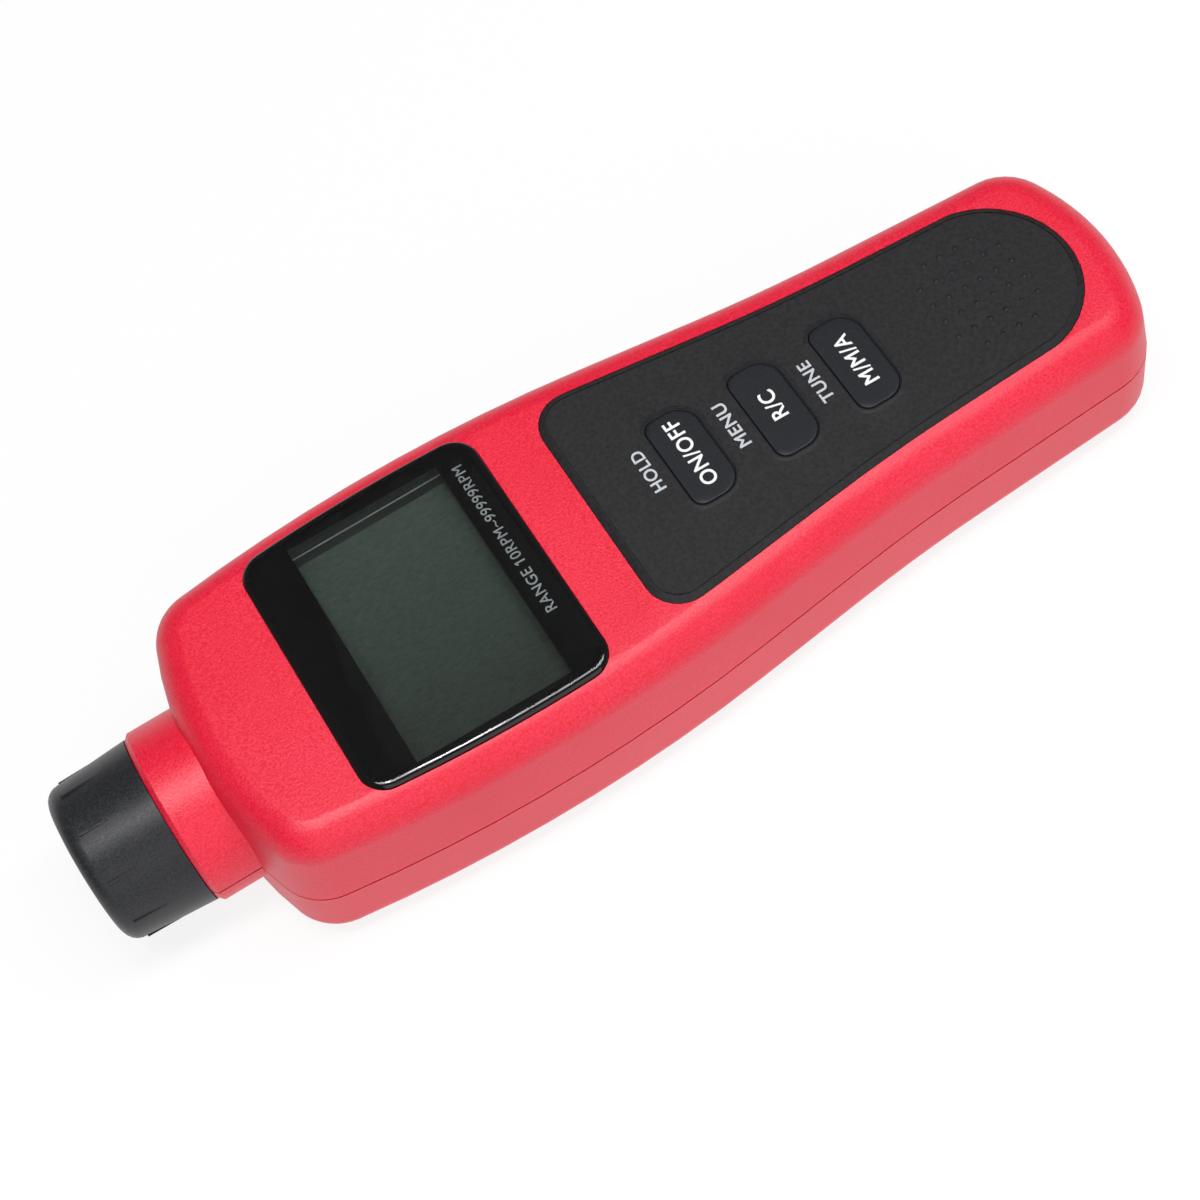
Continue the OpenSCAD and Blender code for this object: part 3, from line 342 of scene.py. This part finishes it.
def smoothing():
    """Joins the facets of a CAD mesh and shades them smooth where they meet at a small angle."""
    g = bpy.data.node_groups.new("smooth_facets", "GeometryNodeTree")
    g.interface.new_socket("Geometry", in_out="INPUT", socket_type="NodeSocketGeometry")
    angle = g.interface.new_socket("Angle", in_out="INPUT", socket_type="NodeSocketFloat")
    angle.default_value = SMOOTH_BELOW
    g.interface.new_socket("Geometry", in_out="OUTPUT", socket_type="NodeSocketGeometry")
    new = g.nodes.new
    start, end = new("NodeGroupInput"), new("NodeGroupOutput")
    merge, flat = new("GeometryNodeMergeByDistance"), new("GeometryNodeSetShadeSmooth")
    edge, sharp = new("GeometryNodeSetShadeSmooth"), new("GeometryNodeInputMeshEdgeAngle")
    test = new("FunctionNodeCompare")
    merge.inputs["Distance"].default_value = JOIN * MM
    flat.domain = "FACE"
    edge.domain = "EDGE"
    test.data_type = "FLOAT"
    test.operation = "LESS_THAN"
    link = g.links.new
    link(start.outputs["Geometry"], merge.inputs["Geometry"])
    link(merge.outputs["Geometry"], flat.inputs["Geometry"])
    link(flat.outputs["Geometry"], edge.inputs["Geometry"])
    link(sharp.outputs["Unsigned Angle"], test.inputs["A"])
    link(start.outputs["Angle"], test.inputs["B"])
    link(test.outputs["Result"], edge.inputs["Shade Smooth"])
    link(edge.outputs["Geometry"], end.inputs["Geometry"])
    return g


smooth_group = smoothing()


def shade(obj):
    """Smooth facets, then normals that keep large faces flat."""
    mod = obj.modifiers.new("smooth_facets", "NODES")
    mod.node_group = smooth_group
    weighted = obj.modifiers.new("flat_faces", "WEIGHTED_NORMAL")
    weighted.mode = "FACE_AREA"
    weighted.keep_sharp = True


def inked_edges(obj, mat):
    """Gives the faces that don't lie level, the bevel and the sides, a second material."""
    g = bpy.data.node_groups.new("inked_edges", "GeometryNodeTree")
    g.interface.new_socket("Geometry", in_out="INPUT", socket_type="NodeSocketGeometry")
    g.interface.new_socket("Geometry", in_out="OUTPUT", socket_type="NodeSocketGeometry")
    new, link = g.nodes.new, g.links.new
    start, end, put = new("NodeGroupInput"), new("NodeGroupOutput"), new("GeometryNodeSetMaterial")
    normal, parts, size, test = (new("GeometryNodeInputNormal"), new("ShaderNodeSeparateXYZ"),
                                 new("ShaderNodeMath"), new("FunctionNodeCompare"))
    size.operation = "ABSOLUTE"
    test.data_type = "FLOAT"
    test.operation = "LESS_THAN"
    test.inputs["B"].default_value = LEVEL
    put.inputs["Material"].default_value = mat.m
    link(normal.outputs["Normal"], parts.inputs["Vector"])
    link(parts.outputs["Z"], size.inputs[0])
    link(size.outputs["Value"], test.inputs["A"])
    link(start.outputs["Geometry"], put.inputs["Geometry"])
    link(test.outputs["Result"], put.inputs["Selection"])
    link(put.outputs["Geometry"], end.inputs["Geometry"])
    obj.modifiers.new("inked_edges", "NODES").node_group = g


for name, obj in nodes.items():
    obj.data.materials.clear()
    obj.data.materials.append(LOOKS[slot_of[name]].m)
    shade(obj)
inked_edges(nodes["display_window"], black_edge)

# Places on the sloping top
SLOPE = math.radians(1.5)
WIDEST = 23.8
TOP_AT_WIDEST = 31.8
# Heights over the top face
KEYPAD_TOP = 0.5
KEY_TOP = 0.8
WINDOW_PRINT = -0.8


def top_z(x):
    """Height of the top face at x."""
    return TOP_AT_WIDEST + math.tan(SLOPE) * (x - WIDEST)


def on_top(x):
    """Puts what is drawn level round x = 0 on the top face at x, with that face's slope."""
    return Matrix.Translation((x, 0, top_z(x))) @ Matrix.Rotation(-SLOPE, 4, "Y")


def show(name, mesh, mat, body):
    """Makes a piece of the object from a mesh."""
    mesh.materials.clear()
    mesh.materials.append(mat.m)
    piece = bpy.data.objects.new(name, mesh)
    scene.collection.objects.link(piece)
    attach(piece, body)


# Lettering
INK = 0.015
LETTER_SPACE = 1.07
# Shortest step that an outline keeps, as a share of the font's size, and the sine of its smallest turn
SHORT_STEP = 0.005
SMALL_TURN = 0.001
# Cosine of half the turn from which a corner is cut short
BLUNT = 0.6
# Flag of a figure one: across from its bar's left side and down from its top, as shares of its height
FLAG = ((0.02, 0), (-0.2, 0.16), (-0.2, 0.29), (0, 0.2))
# Least height of that bar, in widths
SLIM = 4


def turn_at(loop, i):
    """Directions of the edges before and after a point of a loop."""
    return (loop[i] - loop[i - 1]).normalized(), (loop[(i + 1) % len(loop)] - loop[i]).normalized()


def bezier_loops(curve, steps=6):
    """The outlines of a text as loops of points."""
    loops = []
    for spline in curve.splines:
        loop, knots = [], spline.bezier_points
        for i in range(len(knots)):
            a, b = knots[i], knots[(i + 1) % len(knots)]
            straight = "VECTOR" in (a.handle_right_type, b.handle_left_type)
            for k in range(1 if straight else steps):
                t = k / steps
                loop.append((1 - t) ** 3 * a.co + 3 * (1 - t) ** 2 * t * a.handle_right
                            + 3 * (1 - t) * t * t * b.handle_left + t ** 3 * b.co)
        clean = [p.xy for i, p in enumerate(loop) if (p - loop[i - 1]).length > SHORT_STEP]
        turns = [turn_at(clean, i) for i in range(len(clean))]
        loops.append([p for p, (e, f) in zip(clean, turns) if abs(e.cross(f)) > SMALL_TURN])
    return loops


def inside(p, loop):
    """Whether a point lies inside a loop."""
    hit = False
    for i, b in enumerate(loop):
        a = loop[i - 1]
        if (a.y > p.y) != (b.y > p.y) and p.x < a.x + (p.y - a.y) * (b.x - a.x) / (b.y - a.y):
            hit = not hit
    return hit


def bolder(loop, grow):
    """A loop moved outwards by grow, with its sharp outer corners cut short."""
    out = []
    for i, p in enumerate(loop):
        e, f = turn_at(loop, i)
        n, m = Vector((e.y, -e.x)), Vector((f.y, -f.x))
        half = (n + m).length / 2
        if half > BLUNT or e.cross(f) < 0:
            out.append(p + (n + m).normalized() * grow / half)
        else:
            past = grow * math.sqrt(1 / BLUNT ** 2 - 1) / 2
            out += [p + n * grow + e * past, p + m * grow - f * past]
    return out


def flagged(loop):
    """A plain upright bar, the font's figure one, gets the flag that a printed one has."""
    xs, ys = sorted({round(p.x, 4) for p in loop}), sorted({round(p.y, 4) for p in loop})
    if len(loop) != 4 or len(xs) != 2 or len(ys) != 2 or ys[1] - ys[0] < SLIM * (xs[1] - xs[0]):
        return loop
    (x0, x1), (y0, y1), h = xs, ys, ys[1] - ys[0]
    flag = [(x0 + across * h, y1 - below * h) for across, below in FLAG]
    return [Vector(p) for p in [(x0, y0), (x1, y0), (x1, y1)] + flag]


def legend(name, words, x, y, lift, cap, length, mat, body, slot, bold):
    """A printed word whose letters stand up towards the nose and read towards the far side.

    x, y and lift are its middle, cap its height, length its length, and bold the growth of its strokes.
    """
    data = bpy.data.curves.new(name, "FONT")
    data.body = words
    data.size = 1
    data.space_character = LETTER_SPACE
    text = bpy.data.objects.new(name, data)
    scene.collection.objects.link(text)
    bpy.context.view_layer.update()
    loops = [flagged(loop) for loop in bezier_loops(text.to_curve(bpy.context.evaluated_depsgraph_get()))]
    text.to_curve_clear()
    bpy.data.objects.remove(text)
    bpy.data.curves.remove(data)
    xs, ys = [p.x for loop in loops for p in loop], [p.y for loop in loops for p in loop]
    kx, ky = (length - 2 * bold) / (max(xs) - min(xs)), (cap - 2 * bold) / (max(ys) - min(ys))
    middle = Vector((max(xs) + min(xs), max(ys) + min(ys))) / 2
    loops = [[Vector(((p.x - middle.x) * kx, (p.y - middle.y) * ky)) for p in loop] for loop in loops]
    flat = bpy.data.curves.new(name, "CURVE")
    flat.dimensions = "2D"
    flat.fill_mode = "BOTH"
    flat.extrude = INK
    for loop in loops:
        area = sum(loop[i - 1].cross(p) for i, p in enumerate(loop)) / 2
        hole = sum(inside(loop[0], other) for other in loops if other is not loop) % 2
        if (area < 0) != bool(hole):
            loop = loop[::-1]
        line = flat.splines.new("POLY")
        line.use_cyclic_u = True
        thick = bolder(loop, bold)
        line.points.add(len(thick) - 1)
        for knot, p in zip(line.points, thick):
            knot.co = (p.x, p.y, 0, 1)
    shape = bpy.data.objects.new(name, flat)
    scene.collection.objects.link(shape)
    bpy.context.view_layer.update()
    mesh = bpy.data.meshes.new_from_object(shape.evaluated_get(bpy.context.evaluated_depsgraph_get()))
    bpy.data.objects.remove(shape)
    bpy.data.curves.remove(flat)
    turn = Matrix(((0, 1, 0), (-1, 0, 0), (0, 0, 1))).to_4x4()
    place = Matrix.Translation(Vector((x, y, top_z(x) + lift + INK)) * MM)
    mesh.transform(place @ Matrix.Rotation(-SLOPE, 4, "Y") @ turn @ Matrix.Scale(MM, 4))
    show(name, mesh, mat, body)


# x of a key, its body, the word on it with length and y, and the word beside it with length and y
KEYS = ((-15.6, "power_button", "ON/OFF", 12.6, -0.4, "HOLD", 7.8, -1.35),
        (-30.2, "count_button", "R/C", 5.3, -0.45, "MENU", 8.5, -1.1),
        (-44.8, "memory_button", "M/M/A", 9.7, -0.2, "TUNE", 8.0, -0.35))
KEY_CAP = 2.6
BESIDE = 6.95
BESIDE_CAP = 2.05
BOLD = 0.05
RANGE_AT = (14.9, -4.2)
RANGE_CAP = 1.75
RANGE_LENGTH = 29
RANGE_BOLD = 0.015

for x, body, on_key, key_len, key_y, beside, side_len, side_y in KEYS:
    legend("legend_" + body, on_key, x, key_y, KEY_TOP, KEY_CAP, key_len, ink_white, body,
           "key_rubber", BOLD)
    legend("legend_over_" + body, beside, x + BESIDE, side_y, KEYPAD_TOP, BESIDE_CAP, side_len, ink_grey,
           "case", "keypad_plastic", BOLD)
legend("legend_range", "RANGE 10RPM~99999RPM", *RANGE_AT, WINDOW_PRINT, RANGE_CAP, RANGE_LENGTH, ink_grey,
       "case", "window_print", RANGE_BOLD)


# Small soft and printed parts
WELD = 0.01
CORNER_STEPS = 8


def outward(mesh):
    """Joins points that coincide and turns every face outwards."""
    made = bmesh.new()
    made.from_mesh(mesh)
    bmesh.ops.remove_doubles(made, verts=made.verts, dist=WELD * MM)
    bmesh.ops.recalc_face_normals(made, faces=made.faces)
    made.to_mesh(mesh)
    made.free()


def ringed(name, loops, mat, body):
    """A closed band through loops of points, the last joined to the first."""
    n = len(loops[0])
    faces = []
    for k in range(len(loops)):
        a, b = k * n, (k + 1) % len(loops) * n
        faces += [(a + i, a + (i + 1) % n, b + (i + 1) % n, b + i) for i in range(n)]
    mesh = bpy.data.meshes.new(name)
    mesh.from_pydata([Vector(p) * MM for loop in loops for p in loop], [], faces)
    outward(mesh)
    show(name, mesh, mat, body)


def arc(cx, cy, r, start, end, steps):
    """Points of an arc, from one angle to another in degrees."""
    turns = [math.radians(start + (end - start) * i / steps) for i in range(steps + 1)]
    return [(cx + r * math.cos(a), cy + r * math.sin(a)) for a in turns]


KEY_HALF = (4.05, 8.35)
KEY_NOSE_R = 2.0
KEY_TAIL_R = 3.6
# Section of the skin in a key's gap: distance out from the key, and height over the top face
WEB_SECTION = ((0.04, 0.56), (0.1, 0.5), (0.2, 0.5), (0.31, 0.57), (0.31, 0.05), (0.04, 0.05))


def key_ring(x, out, z):
    """Outline of a key drawn outwards, as points on the sloping top."""
    (hx, hy), a, b = KEY_HALF, KEY_NOSE_R, KEY_TAIL_R
    corners = ((hx - a, hy - a, a, 0), (b - hx, hy - b, b, 90),
               (b - hx, b - hy, b, 180), (hx - a, a - hy, a, 270))
    flat = [p for cx, cy, r, start in corners for p in arc(cx, cy, r + out, start, start + 90, CORNER_STEPS)]
    place = on_top(x)
    return [place @ Vector((px, py, z)) for px, py in flat]


def key_web(x, body):
    """Thin rubber skin that closes the gap round a key, with a shallow groove."""
    ringed("web_" + body, [key_ring(x, out, z) for out, z in WEB_SECTION], key_dark, "case")


for x, body, *_ in KEYS:
    key_web(x, body)


PICTURE_X = (17.3, 43.4)
PICTURE_Y = (-19.3, 20.7)
PICTURE_R = 0.35
PICTURE_STEPS = 4
SEAL_W = 1.9
# Heights of the seal over the glass
SEAL_LOW = 0.005
SEAL_TOP = 0.03
RIM_Y = -20.9
# How far the pale strip on the upper sheet's edge, a painted highlight, and its tips reach past the picture
RIM_OVER = 0.5
RIM_TIP = 0.6
# Section of the painted highlight on the upper sheet's edge: across from its middle, and height over the
# seal
RIM_SECTION = ((-0.14, 0), (-0.07, 0.05), (0.07, 0.05), (0.14, 0))


def lcd_border():
    """Dark seal round the picture field of the glass, and a pale strip on the far edge of its upper sheet,
    which is a painted highlight.
    """
    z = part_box("lcd_panel")[1][2] / MM
    (x0, x1), (y0, y1) = PICTURE_X, PICTURE_Y

    def frame_loop(grow, lift):
        inset = PICTURE_R - grow
        corners = ((x1 - inset, y1 - inset, 0), (x0 + inset, y1 - inset, 90),
                   (x0 + inset, y0 + inset, 180), (x1 - inset, y0 + inset, 270))
        return [(px, py, z + lift) for cx, cy, start in corners
                for px, py in arc(cx, cy, PICTURE_R, start, start + 90, PICTURE_STEPS)]

    seal = ((0, SEAL_TOP), (SEAL_W, SEAL_TOP), (SEAL_W, SEAL_LOW), (0, SEAL_LOW))
    ringed("lcd_seal", [frame_loop(grow, lift) for grow, lift in seal], seal_print, "case")

    # Raised pale strip along the far edge of the upper sheet: a painted highlight
    ends = (x0 - RIM_TIP, x0 - RIM_OVER, x1 + RIM_OVER, x1 + RIM_TIP)
    points = [(x, RIM_Y + dy, z + SEAL_TOP + dz) for x in ends for dy, dz in RIM_SECTION]
    n = len(RIM_SECTION)
    sides = [(k + i, k + (i + 1) % n, k + n + (i + 1) % n, k + n + i)
             for k in range(0, len(points) - n, n) for i in range(n)]
    tips = [tuple(range(n))[::-1], tuple(range(len(points) - n, len(points)))]
    rim = bpy.data.meshes.new("lcd_rim_highlight")
    rim.from_pydata([Vector(p) * MM for p in points], [], sides + tips)
    outward(rim)
    show("lcd_rim_highlight", rim, rim_highlight, "case")


lcd_border()


HALF_WIDTH = 28
SIDE_R = 264
WINDOW_X = (11.0, 51.4)
WINDOW_MARGIN = 4.8
WINDOW_R = 4.3
INK_INSET = 0.4
INK_FIELD_X = (17.5, 43.2)
INK_FIELD_Y = (-20.4, 20.4)
# Heights of the ink over the top face
INK_TOP = -0.86
INK_LOW = -0.92


def window_ink():
    """Black ink that stiffens the printed mask, so that no light gets through to the ledge below it."""
    centre_y = HALF_WIDTH - SIDE_R
    outer = []
    for cx, at_nose in ((WINDOW_X[1] - WINDOW_R, True), (WINDOW_X[0] + WINDOW_R, False)):
        cy = centre_y + math.sqrt((SIDE_R - WINDOW_MARGIN - WINDOW_R) ** 2 - (cx - WIDEST) ** 2)
        turn = math.degrees(math.atan2(cy - centre_y, cx - WIDEST))
        start, end = (0, turn) if at_nose else (turn, 180)
        outer += arc(cx, cy, WINDOW_R - INK_INSET, start, end, CORNER_STEPS)
    outer += [(px, -py) for px, py in reversed(outer)]
    (x0, x1), (y0, y1) = INK_FIELD_X, INK_FIELD_Y
    inner = [(min(max(px, x0), x1), min(max(py, y0), y1)) for px, py in outer]
    place = on_top(WIDEST) @ Matrix.Translation((-WIDEST, 0, 0))
    section = ((outer, INK_TOP), (inner, INK_TOP), (inner, INK_LOW), (outer, INK_LOW))
    loops = [[place @ Vector((px, py, z)) for px, py in loop] for loop, z in section]
    ringed("window_ink", loops, black_print, "case")


window_ink()


# Floor, light and background, in metres and watts
FLOOR_HALF = 4.0
FLOOR_DROP = 0.0002
FLOOR_GREY = 0.94
FLOOR_WHITE = 0.86
WORLD_LIGHT = 0.12
WORLD_MIRRORED = 0.06
WHITE = (1, 1, 1, 1)


def glowing(t, kind, strength):
    """A white shader that gives light."""
    n = t.nodes.new(kind)
    n.inputs["Color"].default_value = WHITE
    n.inputs["Strength"].default_value = strength
    return n.outputs[0]


def mirrored(t, path):
    """1 for light that a mirror or glass sends on, else 0."""
    return node_maths(t, "MAXIMUM", path.outputs["Is Glossy Ray"], path.outputs["Is Transmission Ray"])


def mixed_to(t, kind, share, plain, white):
    """Ends a node tree in a mix of a plain and a white shader."""
    mixed, out = t.nodes.new("ShaderNodeMixShader"), t.nodes.new(kind)
    for socket, v in zip(mixed.inputs, (share, plain, white)):
        t.links.new(v, socket)
    t.links.new(mixed.outputs[0], out.inputs["Surface"])


def floor():
    """Pale floor that keeps the shadow, and that the camera, mirrors and glass see nearly white."""
    mesh = bpy.data.meshes.new("floor")
    h = FLOOR_HALF
    mesh.from_pydata([(-h, -h, 0), (h, -h, 0), (h, h, 0), (-h, h, 0)], [], [(0, 1, 2, 3)])
    obj = bpy.data.objects.new("floor", mesh)
    obj.location.z = cad_box[0][2] - FLOOR_DROP
    scene.collection.objects.link(obj)
    m = bpy.data.materials.new("floor")
    m.use_nodes = True
    t = m.node_tree
    t.nodes.clear()
    path, matt = t.nodes.new("ShaderNodeLightPath"), t.nodes.new("ShaderNodeBsdfDiffuse")
    matt.inputs["Color"].default_value = (FLOOR_GREY, FLOOR_GREY, FLOOR_GREY, 1)
    seen = node_maths(t, "MAXIMUM", path.outputs["Is Camera Ray"], mirrored(t, path))
    share = node_maths(t, "MULTIPLY", seen, FLOOR_WHITE)
    mixed_to(t, "ShaderNodeOutputMaterial", share, matt.outputs[0], glowing(t, "ShaderNodeEmission", 1.0))
    mesh.materials.append(m)


def world():
    """Soft light all round, white to the camera and partly white to mirrors and glass."""
    w = bpy.data.worlds.new("studio")
    w.use_nodes = True
    t = w.node_tree
    t.nodes.clear()
    path = t.nodes.new("ShaderNodeLightPath")
    part = node_maths(t, "MULTIPLY", mirrored(t, path), WORLD_MIRRORED)
    share = node_maths(t, "MAXIMUM", path.outputs["Is Camera Ray"], part)
    soft, white = (glowing(t, "ShaderNodeBackground", strength) for strength in (WORLD_LIGHT, 1.0))
    mixed_to(t, "ShaderNodeOutputWorld", share, soft, white)
    scene.world = w


def softbox(name, place, aim, wide, deep, power):
    """A rectangular lamp at a place, turned to what it aims at."""
    data = bpy.data.lights.new(name, "AREA")
    data.shape = "RECTANGLE"
    data.size = wide
    data.size_y = deep
    data.energy = power
    obj = bpy.data.objects.new(name, data)
    back = (Vector(place) - Vector(aim)).normalized()
    across = Vector((0, 1, 0)).cross(back).normalized()
    turn = Matrix((across, back.cross(across), back)).transposed().to_4x4()
    obj.matrix_world = Matrix.Translation(Vector(place)) @ turn
    scene.collection.objects.link(obj)


floor()
world()
softbox("overhead", place=(-0.12, 0.05, 0.85), aim=(-0.12, 0.05, 0), wide=1.0, deep=0.2, power=5.7)
softbox("spot", place=(-0.02, 0.04, 0.8), aim=(-0.02, 0.04, 0), wide=0.06, deep=0.1, power=0.7)
softbox("nose_spot", place=(0.14, 0.05, 0.8), aim=(0.14, 0.05, 0), wide=0.1, deep=0.12, power=0.7)
softbox("front", place=(0, 1.0, 0.6), aim=(0, 0, 0), wide=1.6, deep=1.0, power=5.4)
